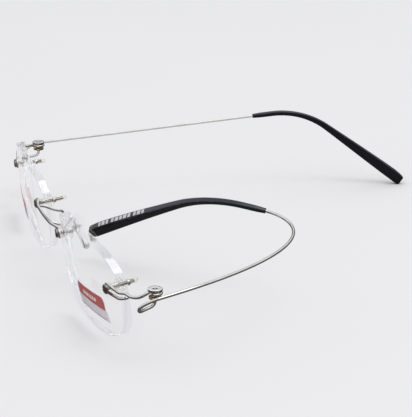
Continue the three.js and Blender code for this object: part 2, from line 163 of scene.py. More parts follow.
def skin(name, sections, material, sharp=35):
    """Joins rings of equally many points and caps both ends."""
    sides = len(sections[0])
    verts = [p for ring in sections for p in ring]
    faces = []
    for i in range(len(sections) - 1):
        for j in range(sides):
            a, b = i * sides + j, i * sides + (j + 1) % sides
            faces.append((a, b, b + sides, a + sides))
    last = (len(sections) - 1) * sides
    faces.append(tuple(range(sides - 1, -1, -1)))
    faces.append(tuple(range(last, last + sides)))
    return face_outward(make_object(name, verts, faces, material, sharp))


def rounded(corners, radius, steps=4):
    """A profile with its inner corners rounded; the first and last points stay."""
    points = [np.array(c, float) for c in corners]
    out = [points[0]]
    for before, here, after in zip(points, points[1:], points[2:]):
        a, b = before - here, after - here
        reach = min(radius, 0.45 * np.linalg.norm(a), 0.45 * np.linalg.norm(b))
        start = here + a / np.linalg.norm(a) * reach
        end = here + b / np.linalg.norm(b) * reach
        for k in range(steps + 1):
            t = k / steps
            out.append((1 - t) ** 2 * start + 2 * t * (1 - t) * here + t * t * end)
    out.append(points[-1])
    return out


def turned_rings(profile, segments, scale):
    """The points of a profile turned about local Y, and each ring's point numbers.

    A ring on the axis is one point, whose number repeats.
    """
    verts, rings = [], []
    for r, h in profile:
        count = 1 if r < 1e-6 else segments
        rings.append([len(verts) + j % count for j in range(segments)])
        for j in range(count):
            a = 2 * math.pi * j / segments
            verts.append(Vector((r * math.cos(a) * scale[0], h * scale[1], r * math.sin(a) * scale[2])))
    return verts, rings


def lathe(name, corners, matrix, material, radius=0.1, segments=48, scale=(1, 1, 1)):
    """A body of revolution about local Y from [radius, height] corners, in millimetres."""
    profile = rounded(corners, radius)
    is_ring = np.allclose(corners[0], corners[-1])
    if is_ring:
        profile = profile[:-1]
    verts, rings = turned_rings(profile, segments, scale)
    if is_ring:
        rings.append(rings[0])
    faces = []
    for low, high in zip(rings, rings[1:]):
        for j in range(segments):
            k = (j + 1) % segments
            face = dict.fromkeys((low[j], low[k], high[k], high[j]))
            if len(face) > 2:
                faces.append(tuple(face))
    world = [to_world(matrix @ v) for v in verts]
    return face_outward(make_object(name, world, faces, material))


def plug_profile(radius, low, high):
    return [[0, low], [radius, low], [radius, high], [0, high]]


def ring_profile(inner, outer, low, high, taper=0.0):
    """A closed profile whose outer side comes in by taper at the high end."""
    return [[inner, low], [outer, low], [outer - taper, high], [inner, high], [inner, low]]


def cut_away(body, cutter):
    """Takes the cutter's volume out of the body, and deletes the cutter."""
    cut = body.modifiers.new("cut", "BOOLEAN")
    cut.operation = "DIFFERENCE"
    cut.solver = "EXACT"
    cut.object = cutter
    bpy.context.view_layer.objects.active = body
    bpy.ops.object.modifier_apply(modifier=cut.name)
    bpy.data.objects.remove(cutter)


def between(a, b, at_a, at_b, t):
    """The point at t on the straight line that passes a at at_a and b at at_b."""
    return a * (at_b - t) / (at_b - at_a) + b * (t - at_a) / (at_b - at_a)


def spline(points, spacing=0.12, steps=24):
    """A centripetal Catmull-Rom curve through points, as evenly spaced points."""
    p = [np.array(q, float) for q in points]
    p = [2 * p[0] - p[1], *p, 2 * p[-1] - p[-2]]
    dense = []
    for p0, p1, p2, p3 in zip(p, p[1:], p[2:], p[3:]):
        t0 = 0
        t1 = t0 + math.sqrt(np.linalg.norm(p1 - p0))
        t2 = t1 + math.sqrt(np.linalg.norm(p2 - p1))
        t3 = t2 + math.sqrt(np.linalg.norm(p3 - p2))
        for k in range(steps):
            t = t1 + (t2 - t1) * k / steps
            a1 = between(p0, p1, t0, t1, t)
            a2 = between(p1, p2, t1, t2, t)
            a3 = between(p2, p3, t2, t3, t)
            b1 = between(a1, a2, t0, t2, t)
            b2 = between(a2, a3, t1, t3, t)
            dense.append(between(b1, b2, t1, t2, t))
    dense.append(p[-2])
    return resample(dense, spacing)


def resample(points, spacing):
    p = np.array(points, float)
    length = np.concatenate([[0], np.cumsum(np.linalg.norm(np.diff(p, axis=0), axis=1))])
    count = max(2, int(round(length[-1] / spacing)) + 1)
    at = np.linspace(0, length[-1], count)
    return np.stack([np.interp(at, length, p[:, k]) for k in range(3)], axis=1)


def turned_frames(points):
    """Tangent and two normals along a line, with no twist."""
    p = np.array(points, float)
    tangents = np.gradient(p, axis=0)
    tangents /= np.linalg.norm(tangents, axis=1)[:, None]
    seed = np.array([0, 0, 1.0]) if abs(tangents[0][2]) < 0.9 else np.array([1.0, 0, 0])
    normal = np.cross(tangents[0], seed)
    out = []
    for t in tangents:
        normal = normal - t * (normal @ t)
        normal /= np.linalg.norm(normal)
        out.append((t, normal, np.cross(t, normal)))
    return out


END_REACH = 0.5  # a rounded wire end reaches this share of the wire's radius
END_RINGS = 5


def tube(name, points, material, radius=WIRE, sides=16, round_start=True, round_end=True):
    """A round wire along points, its ends rounded over where asked."""
    p = np.array(points, float)
    along = np.concatenate([[0], np.cumsum(np.linalg.norm(np.diff(p, axis=0), axis=1))])
    frames = turned_frames(p)
    reach = radius * END_REACH
    sections = []

    def ring(centre, r, n, b):
        angles = [2 * math.pi * j / sides for j in range(sides)]
        return [to_world(centre + r * (math.cos(a) * n + math.sin(a) * b)) for a in angles]

    def dome(centre, t, n, b):
        angles = [math.pi / 2 * (k + 0.4) / END_RINGS for k in range(END_RINGS)]
        return [ring(centre + t * reach * math.cos(a), radius * math.sin(a), n, b) for a in angles]

    if round_start:
        t, n, b = frames[0]
        sections += dome(p[0] + t * reach, -t, n, b)
    for point, s, (t, n, b) in zip(p, along, frames):
        inside_start = not round_start or s > reach
        inside_end = not round_end or s < along[-1] - reach
        if inside_start and inside_end:
            sections.append(ring(point, radius, n, b))
    if round_end:
        t, n, b = frames[-1]
        sections += dome(p[-1] - t * reach, t, n, b)[::-1]
    return skin(name, sections, material, sharp=50)


# ---------------------------------------------------------------- materials
def new_material(name):
    material = bpy.data.materials.new(name)
    material.use_nodes = True
    tree = material.node_tree
    return material, tree, tree.nodes["Principled BSDF"]


def noise(tree, scale, detail=3.0, stretch=None):
    """Noise in object space; scale is in features for each metre."""
    place = tree.nodes.new("ShaderNodeTexCoord")
    texture = tree.nodes.new("ShaderNodeTexNoise")
    texture.inputs["Scale"].default_value = scale
    texture.inputs["Detail"].default_value = detail
    if stretch:
        mapping = tree.nodes.new("ShaderNodeMapping")
        mapping.inputs["Scale"].default_value = stretch
        tree.links.new(place.outputs["Object"], mapping.inputs["Vector"])
        tree.links.new(mapping.outputs["Vector"], texture.inputs["Vector"])
    else:
        tree.links.new(place.outputs["Object"], texture.inputs["Vector"])
    return texture.outputs["Fac"]


def ramp(tree, source, low, high, start=0.3, end=0.7):
    node = tree.nodes.new("ShaderNodeMapRange")
    node.inputs["From Min"].default_value = start
    node.inputs["From Max"].default_value = end
    node.inputs["To Min"].default_value = low
    node.inputs["To Max"].default_value = high
    tree.links.new(source, node.inputs["Value"])
    return node.outputs["Result"]


def two_tone(tree, source, dark, light, start=0.3, end=0.7):
    node = tree.nodes.new("ShaderNodeMix")
    node.data_type = "RGBA"
    node.inputs["A"].default_value = (*dark, 1)
    node.inputs["B"].default_value = (*light, 1)
    tree.links.new(ramp(tree, source, 0, 1, start, end), node.inputs["Factor"])
    return node.outputs["Result"]


def bump(tree, shader, source, strength, distance):
    node = tree.nodes.new("ShaderNodeBump")
    node.inputs["Strength"].default_value = strength
    node.inputs["Distance"].default_value = distance
    tree.links.new(source, node.inputs["Height"])
    tree.links.new(node.outputs["Normal"], shader.inputs["Normal"])


def metal(name, dark, light, roughness, metallic=1.0):
    """Polished or satin metal; roughness is the range that a fine grain runs through. A metallic below 1
    adds a pale diffuse part, which is painted light.
    """
    material, tree, shader = new_material(name)
    shader.inputs["Metallic"].default_value = metallic
    broad = noise(tree, scale=260, detail=2)
    fine = noise(tree, scale=5200, detail=3)
    tree.links.new(two_tone(tree, broad, dark, light), shader.inputs["Base Color"])
    tree.links.new(ramp(tree, fine, *roughness), shader.inputs["Roughness"])
    bump(tree, shader, fine, strength=0.08, distance=0.00001)
    return material


def lets_light_through(material, tree, shader, tint):
    """Shadow and diffuse rays pass straight on, so that clear plastic casts only a faint shadow."""
    output = tree.nodes["Material Output"]
    path = tree.nodes.new("ShaderNodeLightPath")
    clear = tree.nodes.new("ShaderNodeBsdfTransparent")
    clear.inputs["Color"].default_value = (*tint, 1)
    mix = tree.nodes.new("ShaderNodeMixShader")
    passing = tree.nodes.new("ShaderNodeMath")
    passing.operation = "MAXIMUM"
    tree.links.new(path.outputs["Is Shadow Ray"], passing.inputs[0])
    tree.links.new(path.outputs["Is Diffuse Ray"], passing.inputs[1])
    tree.links.new(passing.outputs["Value"], mix.inputs["Fac"])
    tree.links.new(shader.outputs["BSDF"], mix.inputs[1])
    tree.links.new(clear.outputs["BSDF"], mix.inputs[2])
    tree.links.new(mix.outputs["Shader"], output.inputs["Surface"])
    return material


def clear_plastic(name, dark, light, tint, ior, roughness, coat, gloss=0.0, streaks=None):
    """Clear plastic that hardly bends light, with the gloss of a denser one on its surface.

    The tint is what its shadow lets through, gloss is the roughness of its coat, and streaks
    stretch its two tones along an axis.
    """
    material, tree, shader = new_material(name)
    shader.inputs["Transmission Weight"].default_value = 1.0
    shader.inputs["IOR"].default_value = ior
    shader.inputs["Coat Weight"].default_value = coat
    shader.inputs["Coat IOR"].default_value = 1.55
    shader.inputs["Coat Roughness"].default_value = gloss
    scale = 1 if streaks else 90
    broad = noise(tree, scale, detail=2, stretch=streaks)
    tree.links.new(two_tone(tree, broad, dark, light), shader.inputs["Base Color"])
    fine = noise(tree, scale=1500, detail=2)
    tree.links.new(ramp(tree, fine, *roughness), shader.inputs["Roughness"])
    return lets_light_through(material, tree, shader, tint)


def tip_plastic():
    """Black moulded plastic with a soft gloss."""
    material, tree, shader = new_material("tip_plastic")
    broad = noise(tree, scale=120, detail=3)
    fine = noise(tree, scale=2600, detail=4)
    colour = two_tone(tree, broad, (0.003, 0.003, 0.005), (0.005, 0.005, 0.009))
    tree.links.new(colour, shader.inputs["Base Color"])
    tree.links.new(ramp(tree, fine, 0.18, 0.26), shader.inputs["Roughness"])
    shader.inputs["Specular Tint"].default_value = (0.85, 0.88, 1.0, 1)
    shader.inputs["Coat Weight"].default_value = 0.35
    shader.inputs["Coat Roughness"].default_value = 0.12
    bump(tree, shader, fine, strength=0.05, distance=0.00002)
    return material


def printed_film(name, dark, light):
    """Printed film with a little ink mottling."""
    material, tree, shader = new_material(name)
    mottle = noise(tree, scale=1400, detail=3)
    tree.links.new(two_tone(tree, mottle, dark, light), shader.inputs["Base Color"])
    grain = noise(tree, scale=500, detail=2)
    tree.links.new(ramp(tree, grain, 0.32, 0.45), shader.inputs["Roughness"])
    shader.inputs["Coat Weight"].default_value = 0.3
    return material


STEEL = metal("polished_wire", (0.60, 0.59, 0.565), (0.74, 0.73, 0.71), (0.07, 0.13))
# The right temple's wire: the wire metal made rougher, and paler by a diffuse part; the paleness is painted
# light.
PAINTED_LIGHT_WIRE = metal("wire_with_painted_light", (0.74, 0.73, 0.71), (0.84, 0.83, 0.82), (0.3, 0.4), metallic=0.45)
CAP_STEEL = metal("cap_steel", (0.80, 0.80, 0.80), (0.88, 0.88, 0.88), (0.16, 0.26))
# Dark screw steel; the hinge caps' upright sides also take it, as painted shade.
DARK_STEEL_AND_SHADE = metal("dark_screw_steel_and_painted_shade", (0.22, 0.2, 0.19), (0.42, 0.39, 0.36), (0.1, 0.18))
NUT_STEEL = metal("nut_steel", (0.6, 0.59, 0.56), (0.72, 0.71, 0.68), (0.14, 0.24))
BRASS = metal("bush_brass", (0.42, 0.3, 0.2), (0.58, 0.44, 0.32), (0.2, 0.32))
LENS_CLEAR = clear_plastic(
    "lens_clear",
    dark=(0.992, 0.994, 0.994),
    light=(0.998, 1.0, 1.0),
    tint=(0.98, 0.98, 0.98),
    ior=1.02,
    roughness=(0.0, 0.004),
    coat=0.5,
)
LENS_EDGE = clear_plastic(
    "lens_edge",
    dark=(0.70, 0.71, 0.78),
    light=(0.99, 0.99, 1.0),
    tint=(0.95, 0.95, 0.96),
    ior=1.02,
    roughness=(0.12, 0.22),
    coat=1.0,
    streaks=(40, 900, 40),
)
SLEEVE_CLEAR = clear_plastic(
    "sleeve_clear",
    dark=(0.86, 0.86, 0.78),
    light=(0.93, 0.93, 0.88),
    tint=(0.88, 0.88, 0.85),
    ior=1.08,
    roughness=(0.06, 0.12),
    coat=0.6,
    gloss=0.02,
)
PAD_CLEAR = clear_plastic(
    "pad_clear",
    dark=(0.97, 0.975, 0.97),
    light=(0.99, 0.995, 0.99),
    tint=(0.95, 0.95, 0.94),
    ior=1.01,
    roughness=(0.05, 0.15),
    coat=0.4,
)
TIP = tip_plastic()
FILM_RED = printed_film("film_red", (0.40, 0.085, 0.085), (0.52, 0.12, 0.12))
# A paler red, used for the right lens's film.
FILM_PALER_RED = printed_film("film_paler_red", (0.60, 0.36, 0.37), (0.70, 0.44, 0.45))
FILM_GREY = printed_film("film_grey", (0.64, 0.61, 0.64), (0.77, 0.73, 0.77))
FILM_PALE = printed_film("film_pale", (0.78, 0.66, 0.66), (0.92, 0.83, 0.82))
FILM_SLATE = printed_film("film_slate", (0.22, 0.23, 0.27), (0.34, 0.35, 0.4))
TIP_PRINT = printed_film("tip_print", (0.42, 0.42, 0.44), (0.62, 0.62, 0.64))


# ---------------------------------------------------------------- lenses
def lens_matrix(side):
    across = BRIDGE_WIDTH / 2 + LENS_WIDTH / 2 * math.cos(WRAP)
    place = Vector((side * across, 0, LENS_HEIGHT / 2 * math.cos(TILT)))
    turn = Matrix.Rotation(TILT, 4, "X") @ Matrix.Rotation(side * WRAP, 4, "Z")
    return Matrix.Translation(place) @ turn


def on_lens(u, v, side, depth=0.0):
    """Lens-local point at (u, v) on the front surface, moved back by depth; u is outward."""
    to_centre = math.sqrt(LENS_RADIUS**2 - u**2 - v**2)
    normal = Vector((-side * u, to_centre, -v)) / LENS_RADIUS
    return Vector((side * u, LENS_RADIUS - to_centre, v)) + normal * depth, normal


OUTLINE_STEPS = 4000


def outline(count):
    """Evenly spaced (u, v) points round the lens."""
    power = 2 / LENS_SQUARENESS
    points = []
    for i in range(OUTLINE_STEPS):
        a = 2 * math.pi * i / OUTLINE_STEPS
        c, s = math.cos(a), math.sin(a)
        u = LENS_WIDTH / 2 * math.copysign(abs(c) ** power, c)
        v = LENS_HEIGHT / 2 * math.copysign(abs(s) ** power, s)
        points.append((u, v, 0))
    points.append(points[0])
    length = sum(math.dist(a, b) for a, b in zip(points, points[1:]))
    return [(p[0], p[1]) for p in resample(points, length / count)[:-1]]


def lens_point(u, v, side, share, wall_share):
    """A point on the lens body: share runs from the middle to the rim, wall_share from front to back."""
    front, _ = on_lens(u * share, v * share, side)
    inner = LENS_RADIUS - LENS_THICKNESS
    back_y = LENS_RADIUS - math.sqrt(inner**2 - (u * share) ** 2 - (v * share) ** 2)
    return Vector((front.x, front.y + (back_y - front.y) * wall_share, front.z))


RIM_COUNT = 176
FACE_SHARES = [0.04, 0.2, 0.36, 0.52, 0.66, 0.78, 0.87, 0.94, 0.985]
BEVEL_SHARE, BEVEL_WALL = 0.996, 0.055
WALL_SHARES = [BEVEL_WALL, 0.3, 0.5, 0.7, 1 - BEVEL_WALL]


def lens_body(side):
    matrix = lens_matrix(side)
    rim = outline(RIM_COUNT)
    shares = [*FACE_SHARES, BEVEL_SHARE]
    loops = [(s, 0.0) for s in shares] + [(1.0, w) for w in WALL_SHARES] + [(s, 1.0) for s in shares[::-1]]
    rings = [[to_world(matrix @ lens_point(u, v, side, s, w)) for u, v in rim] for s, w in loops]
    lens = skin(f"{side_name(side)}_lens_glass", rings, LENS_CLEAR, sharp=0)
    for hole in (TEMPORAL_HOLE, NASAL_HOLE):
        drill(lens, hole, side)
    lens.data.set_sharp_from_angle(angle=math.radians(28))
    lens.data.materials.append(LENS_EDGE)
    facing = (matrix.to_3x3() @ Vector((0, 1, 0))).normalized()
    for face in lens.data.polygons:
        face.material_index = 1 if abs(face.normal.dot(facing)) < 0.6 else 0
    return lens


def screw_matrix(hole, side):
    """Local Y runs back along the screw from the lens's front surface."""
    point, normal = on_lens(hole[0], hole[1], side)
    turn = Vector((0, 1, 0)).rotation_difference(normal).to_matrix().to_4x4()
    return lens_matrix(side) @ Matrix.Translation(point) @ turn


def drill(lens, hole, side):
    bit = lathe("drill_bit", plug_profile(HOLE_RADIUS, -3, 6), screw_matrix(hole, side), LENS_CLEAR, 0.01)
    cut_away(lens, bit)


# Corners of the two printed films as (u, v): lower inner, lower outer, upper outer, upper inner.
LABEL_UPPER = [(-1.2, -5.0), (16.9, -4.3), (16.45, -1.0), (-1.5, -2.05)]
LABEL_LOWER = [(-0.7, -7.6), (18.6, -7.2), (17.6, -4.4), (-1.2, -5.12)]
LABEL_NICK = 1.3
LABEL_DEPTHS = (-0.17, -0.04)
INK_DEPTHS = (-0.2, -0.175)
# Sizes and places of the printed blocks are shares of their film's width and height.
BLOCK_WIDTHS = [0.05, 0.035, 0.06, 0.03, 0.05, 0.04, 0.055]
BLOCK_START, BLOCK_GAP = 0.24, 0.028
BLOCK_RISE = (0.3, 0.62)
DOT_COUNT = 16
DOT_START, DOT_PITCH, DOT_WIDTH = 0.05, 0.055, 0.03
DOT_RISE = (0.07, 0.17)


def label_place(corners, across, rise, nick=0.0):
    """The (u, v) at shares across and up a film, its upper outer corner rounded by nick."""
    low = Vector(corners[0]).lerp(Vector(corners[1]), across)
    high = Vector(corners[3]).lerp(Vector(corners[2]), across)
    place = low.lerp(high, rise)
    height = (high - low).length
    if nick and (1 - rise) * height < nick:
        up = 1 - (1 - rise) * height / nick
        place.x -= across * nick * (1 - math.sqrt(max(0.0, 1 - up**2)))
    return place


def film(side, name, corners, material, depths, rows=14, columns=30, nick=0.0):
    """A thin film between two depths in front of the lens, shaped by its four corners."""
    matrix = lens_matrix(side)
    verts = []
    for depth in depths:
        for i in range(rows + 1):
            for j in range(columns + 1):
                u, v = label_place(corners, j / columns, 1 - i / rows, nick)
                verts.append(to_world(matrix @ on_lens(u, v, side, depth)[0]))
    width, sheet = columns + 1, (rows + 1) * (columns + 1)
    faces = []
    for i in range(rows):
        for j in range(columns):
            a = i * width + j
            faces.append((a, a + 1, a + 1 + width, a + width))
            faces.append(tuple(sheet + k for k in (a + width, a + 1 + width, a + 1, a)))
    border = list(range(columns)) + [i * width + columns for i in range(rows)]
    border += [rows * width + j for j in range(columns, 0, -1)] + [i * width for i in range(rows, 0, -1)]
    for a, b in zip(border, border[1:] + border[:1]):
        faces.append((b, a, a + sheet, b + sheet))
    return face_outward(make_object(name, verts, faces, material))


def inset(corners, left, right, low, high):
    """Corners of the part of a film between shares across and up it."""
    return [label_place(corners, x, y) for x, y in ((left, low), (right, low), (right, high), (left, high))]


def join(name, pieces):
    bpy.ops.object.select_all(action="DESELECT")
    for piece in pieces:
        piece.select_set(True)
    bpy.context.view_layer.objects.active = pieces[0]
    bpy.ops.object.join()
    pieces[0].name = name
    return pieces[0]


def label_dots(side):
    """A row of small dark blocks along the bottom of the grey film."""
    blocks = []
    for k in range(DOT_COUNT):
        start = DOT_START + DOT_PITCH * k
        place = inset(LABEL_LOWER, start, start + DOT_WIDTH, *DOT_RISE)
        blocks.append(film(side, f"dot_{k}", place, FILM_SLATE, INK_DEPTHS, 1, 1))
    return join(f"{side_name(side)}_label_dots", blocks)


def label_print(side):
    """A row of plain pale blocks on the red film."""
    blocks, start = [], BLOCK_START
    for k, width in enumerate(BLOCK_WIDTHS):
        place = inset(LABEL_UPPER, start, start + width, *BLOCK_RISE)
        blocks.append(film(side, f"block_{k}", place, FILM_PALE, INK_DEPTHS, 2, 2))
        start += width + BLOCK_GAP
    return join(f"{side_name(side)}_label_blocks", blocks)


def labels(side):
    key = side_name(side)
    # The right lens's red film is a paler red than the left's.
    red = FILM_RED if side > 0 else FILM_PALER_RED
    upper = film(side, f"{key}_label_red_film", LABEL_UPPER, red, LABEL_DEPTHS, nick=LABEL_NICK)
    add(upper, "front", "label_red", f"{key}_label_upper")
    lower = film(side, f"{key}_label_grey_film", LABEL_LOWER, FILM_GREY, LABEL_DEPTHS)
    add(lower, "front", "label_grey", f"{key}_label_lower")
    add(label_print(side), "front", "label_grey")
    add(label_dots(side), "front", "label_grey")


# ---------------------------------------------------------------- screws
HEAD_BEVEL = (0.35, 0.27)  # across and along the screw
SLOT_MIDDLE = -1.6
SLOT_SIZE = (3.2, 0.5, 0.34)
SLEEVE_BORE, SLEEVE_RADIUS = 0.55, 0.93
SLEEVE_START, SLEEVE_PAST = 0.05, 0.1
WASHER_RADIUS, WASHER_TAPER = 1.8, 0.1
WASHER_GAP, WASHER_THICKNESS = 0.17, 0.7
NUT_BORE, NUT_END_RADIUS, NUT_RADIUS = 0.53, 0.72, 0.85
NUT_HALF = 0.45
END_CAP_RADIUS, END_CAP_TIP_RADIUS = 0.64, 0.4
END_CAP_START, END_CAP_PAST = 0.55, 1.0
END_CAP_CHAMFER = 0.3


def slot_cutter(matrix):
    """A box that crosses the screw's head where the driver's slot goes."""
    box = bmesh.new()
    bmesh.ops.create_cube(box, size=1)
    mesh = bpy.data.meshes.new("slot_cutter")
    box.to_mesh(mesh)
    box.free()
    local = Matrix.Translation((0, SLOT_MIDDLE, 0)) @ Matrix.Diagonal((*SLOT_SIZE, 1))
    mesh.transform(Matrix.Translation(BASE_SHIFT) @ matrix @ local)
    mesh.transform(Matrix.Diagonal((MM, MM, MM, 1)))
    cutter = bpy.data.objects.new("slot_cutter", mesh)
    bpy.context.scene.collection.objects.link(cutter)
    return cutter


def screw(name, matrix, end):
    corners = [
        [0, HEAD_FRONT],
        [HEAD_RADIUS - HEAD_BEVEL[0], HEAD_FRONT],
        [HEAD_RADIUS, HEAD_FRONT + HEAD_BEVEL[1]],
        [HEAD_RADIUS, HEAD_BACK],
        [SCREW_RADIUS, HEAD_BACK],
        [SCREW_RADIUS, end],
        [0, end],
    ]
    body = lathe(name, corners, matrix, DARK_STEEL_AND_SHADE, radius=0.12)
    cut_away(body, slot_cutter(matrix))
    body.data.set_sharp_from_angle(angle=math.radians(35))
    return body


def nut_profile(middle):
    low, high = middle - NUT_HALF, middle + NUT_HALF
    outer = [[NUT_END_RADIUS, low], [NUT_RADIUS, middle], [NUT_END_RADIUS, high]]
    return [[NUT_BORE, low], *outer, [NUT_BORE, high], [NUT_BORE, low]]


def end_cap_profile(start, end):
    """A cap open at its start, which covers the screw's end."""
    inside = END_DEPTH + 0.1
    return [
        [NUT_BORE, start],
        [END_CAP_RADIUS, start],
        [END_CAP_RADIUS, end - END_CAP_CHAMFER],
        [END_CAP_TIP_RADIUS, end],
        [0, end],
        [0, inside],
        [NUT_BORE, inside],
        [NUT_BORE, start],
    ]


def screw_set(side, place, hole, nut_depth):
    """A screw with its sleeve and washer, and with a nut and an end cap if it has a nut_depth."""
    prefix = f"{side_name(side)}_{place}"
    matrix = screw_matrix(hole, side)
    body = screw(f"{prefix}_screw_body", matrix, END_DEPTH if nut_depth else TRIMMED_DEPTH)
    add(body, "front", "dark_steel", f"{prefix}_screw")
    profile = ring_profile(SLEEVE_BORE, SLEEVE_RADIUS, SLEEVE_START, LENS_THICKNESS + SLEEVE_PAST)
    sleeve = lathe(f"{prefix}_sleeve_tube", profile, matrix, SLEEVE_CLEAR)
    add(sleeve, "front", "clear_plastic", f"{prefix}_sleeve")
    low = LENS_THICKNESS + WASHER_GAP
    profile = ring_profile(SLEEVE_BORE, WASHER_RADIUS, low, low + WASHER_THICKNESS, WASHER_TAPER)
    washer = lathe(f"{prefix}_washer_ring", profile, matrix, SLEEVE_CLEAR)
    add(washer, "front", "clear_plastic", f"{prefix}_washer")
    if nut_depth:
        nut_parts(prefix, matrix, nut_depth)


def nut_parts(prefix, matrix, depth):
    nut = lathe(f"{prefix}_nut_ring", nut_profile(depth), matrix, NUT_STEEL)
    add(nut, "front", "dark_steel", f"{prefix}_nut")
    profile = end_cap_profile(depth + END_CAP_START, END_DEPTH + END_CAP_PAST)
    cap = lathe(f"{prefix}_end_cap_shell", profile, matrix, SLEEVE_CLEAR)
    add(cap, "front", "clear_plastic", f"{prefix}_end_cap")


# ---------------------------------------------------------------- bent wire
def eye(hole, side, start, end, count):
    """Points of a wire's eye round a screw, from the angle start to end."""
    points = []
    for i in range(count + 1):
        a = start + (end - start) * i / count
        u = hole[0] + LOOP_RADIUS * math.cos(a)
        v = hole[1] + LOOP_RADIUS * math.sin(a)
        points.append(on_lens(u, v, side, LOOP_DEPTH)[0])
    return points


# Points of the end piece's wire. CLAW and EDGE are (u, v, depth) on the lens, SHOULDER is (x, y, z).
CLAW = [(27.1, 2.1, 1.5), (26.9, 2.15, 0.4), (26.2, 2.2, -0.48), (24.8, 2.2, -0.52)]
EDGE = {
    "left": [(24.4, 4.0, LOOP_DEPTH), (26.3, 3.75, -0.45), (27.2, 3.55, 0.5)],
    "right": [(23.4, 5.3, LOOP_DEPTH), (25.2, 6.0, -0.5), (26.6, 6.4, 0.3)],
}
SHOULDER = {
    "left": [(63.6, 6.3, 16.5), (65.3, 8.0, 16.85)],
    "right": [(63.2, 6.3, 19.3), (65.1, 8.6, 19.0)],
}
SPOOL_EYE_STEPS = 10
SPOOL_EYE_START, SPOOL_EYE_TURN = 1.35 * math.pi, 1.55 * math.pi
SPOOL_EYE_DROP, SPOOL_EYE_GAP = 0.12, 0.08


def spool_eye(side):
    """Points of the wire's eye round the waist of the spool, just below its cap."""
    level = HINGE.z - CAP_THICKNESS - WIRE - SPOOL_EYE_DROP
    radius = WAIST_RADIUS + WIRE + SPOOL_EYE_GAP
    points = []
    for i in range(SPOOL_EYE_STEPS + 1):
        a = SPOOL_EYE_START - SPOOL_EYE_TURN * i / SPOOL_EYE_STEPS
        point = Vector((HINGE.x + radius * math.cos(a), HINGE.y + radius * math.sin(a), level))
        points.append(mirror(point, side))
    return points


def end_piece(side):
    key = side_name(side)
    matrix = lens_matrix(side)
    local = [on_lens(u, v, side, d)[0] for u, v, d in CLAW]
    local += eye(TEMPORAL_HOLE, side, -0.42 * math.pi, -1.6 * math.pi, 9)
    local += [on_lens(u, v, side, d)[0] for u, v, d in EDGE[key]]
    route = [matrix @ p for p in local]
    route += [Vector((side * x, y, z)) for x, y, z in SHOULDER[key]]
    route += spool_eye(side)
    piece = tube(f"{key}_end_piece_wire", spline(route), STEEL)
    return add(piece, "front", "wire", f"{key}_end_piece")


BRIDGE_SPAN = [(8.6, -1.35, 18.3), (4.2, -1.6, 18.2)]


def half_bridge(side):
    """Points from the eye round the nasal screw to beside the middle of the bridge."""
    points = eye(NASAL_HOLE, side, -0.85 * math.pi, 0.53 * math.pi, 10)
    return [lens_matrix(side) @ p for p in points] + [mirror(Vector(p), side) for p in BRIDGE_SPAN]


def bridge():
    route = half_bridge(1) + half_bridge(-1)[::-1]
    return add(tube("bridge_bent_wire", spline(route), STEEL), "front", "wire", "bridge_wire")


# ---------------------------------------------------------------- hinges
FLANGE_SLOPE = 0.2
CAP_GAP = 0.06


def hinge(side):
    key = side_name(side)
    turn = Matrix.Rotation(math.pi / 2, 4, "X")
    matrix = Matrix.Translation(mirror(HINGE, side)) @ turn
    low, top = -SPOOL_HEIGHT, -CAP_THICKNESS - CAP_GAP
    barrel = [
        [BORE_RADIUS, low],
        [FLANGE_RADIUS, low],
        [FLANGE_RADIUS, low + FLANGE_THICKNESS],
        [WAIST_RADIUS, low + FLANGE_THICKNESS + FLANGE_SLOPE],
        [WAIST_RADIUS, top],
        [BORE_RADIUS, top],
        [BORE_RADIUS, low],
    ]
    spool = lathe(f"{key}_hinge_spool", barrel, matrix, BRASS, 0.1, 64)
    add(spool, "front", "brass", f"{key}_hinge_barrel")
    cap = ring_profile(BORE_RADIUS, CAP_RADIUS, -CAP_THICKNESS, 0)
    disc = lathe(f"{key}_hinge_disc", cap, matrix, CAP_STEEL, 0.13, 64)
    # Painted shade: the cap's upright side takes the dark screw steel, so it shows dark beside the pale
    # top.
    disc.data.materials.append(DARK_STEEL_AND_SHADE)
    for polygon in disc.data.polygons:
        polygon.material_index = 1 if abs(polygon.normal.z) < 0.5 else 0
    add(disc, "front", "wire", f"{key}_hinge_cap")


# ---------------------------------------------------------------- temples
def start_of_wire(open_angle, rise_angle):
    tangent = Vector((
        -math.sin(open_angle) * math.cos(rise_angle),
        math.cos(open_angle) * math.cos(rise_angle),
        math.sin(rise_angle),
    ))
    up = (Vector((0, 0, 1)) - tangent * tangent.z).normalized()
    return ROOT.copy(), tangent, up


def advance(place, length, turns):
    point, tangent, up = place
    half = tangent.copy()
    for axis, angle in turns:
        half = Matrix.Rotation(angle / 2, 3, axis) @ half
        tangent = Matrix.Rotation(angle, 3, axis) @ tangent
        up = Matrix.Rotation(angle, 3, axis) @ up
    return point + half * length, tangent, up


def flexed_wire(steps):
    places = [start_of_wire(FLEX_OPEN_ANGLE, FLEX_RISE_ANGLE)]
    length = WIRE_LENGTH / steps
    for i in range(steps):
        _, tangent, up = places[-1]
        share = (i + 0.5) / steps
        lean = FLEX_LEAN + FLEX_LEAN_CHANGE * (share - 0.5)
        lateral = tangent.cross(up)
        axis = up * math.cos(lean) + lateral * math.sin(lean)
        bend = (FLEX_BASE + FLEX_PEAK * share**FLEX_POWER) * length
        places.append(advance(places[-1], length, [(axis, bend), (tangent, FLEX_TWIST * length)]))
    return places


def tip_line(start, steps):
    places = [start]
    length = TIP_LENGTH / steps
    for i in range(steps):
        _, tangent, up = places[-1]
        lateral = tangent.cross(up)
        bend_start = max(i * length, EAR_BEND_START)
        bend_end = min((i + 1) * length, EAR_BEND_START + EAR_BEND_LENGTH)
        drop = -EAR_BEND * max(0, bend_end - bend_start) / EAR_BEND_LENGTH
        places.append(advance(places[-1], length, [(lateral, drop), (up, TIP_CURL * length)]))
    return places


